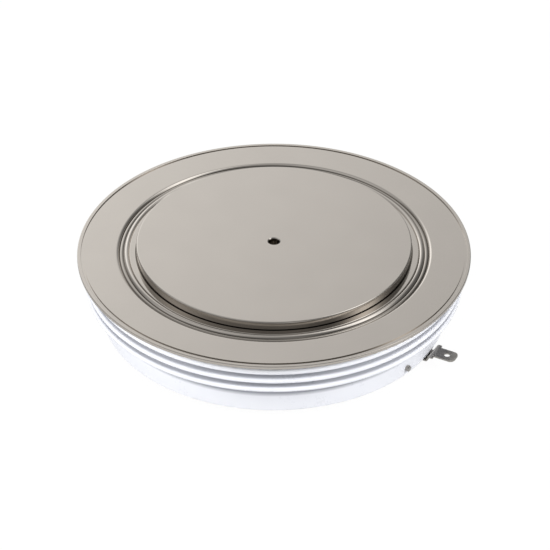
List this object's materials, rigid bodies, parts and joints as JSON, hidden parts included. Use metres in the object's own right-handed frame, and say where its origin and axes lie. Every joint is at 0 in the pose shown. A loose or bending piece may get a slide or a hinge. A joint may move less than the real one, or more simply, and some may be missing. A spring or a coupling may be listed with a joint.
{
  "type": "disc thyristor",
  "caption": "Press-pack disc thyristor: flat capsule with nickel-plated pole faces, ribbed white ceramic housing, gate feed-through and plug-on auxiliary cathode tab.",
  "frame": {"origin": "centre of the cathode pole face, at the mouth of its centring hole", "axes": "+Z along the capsule axis from the cathode to the anode pole face, +X along the auxiliary cathode tab"},
  "size_m": [0.1222, 0.12, 0.026],
  "materials": {
    "nickel_plate": "nickel plated, satin",
    "alumina": "glazed white",
    "molybdenum": "lapped",
    "silicon": "metallised",
    "silicone": "matt",
    "moulded_plastic": "matt",
    "spring_steel": "plain",
    "terminal_metal": "nickel plated, dull"
  },
  "bodies": {
    "root": {"anode_pole": "nickel_plate", "anode_flange": "nickel_plate", "weld_ring": "nickel_plate", "ceramic_ring": "alumina", "cathode_flange": "nickel_plate", "cathode_pole": "nickel_plate", "cathode_moly_disc": "molybdenum", "silicon_wafer": "silicon", "anode_moly_disc": "molybdenum", "wafer_rim": "silicone", "locating_ring": "moulded_plastic", "gate_insulator": "moulded_plastic", "gate_spring": "spring_steel", "gate_pin": "spring_steel", "gate_lead": "spring_steel", "gate_lead_sleeve": "moulded_plastic", "gate_tube": "terminal_metal", "gate_tube_seal": "terminal_metal", "aux_cathode_tab": "terminal_metal"}
  },
  "joints": []
}
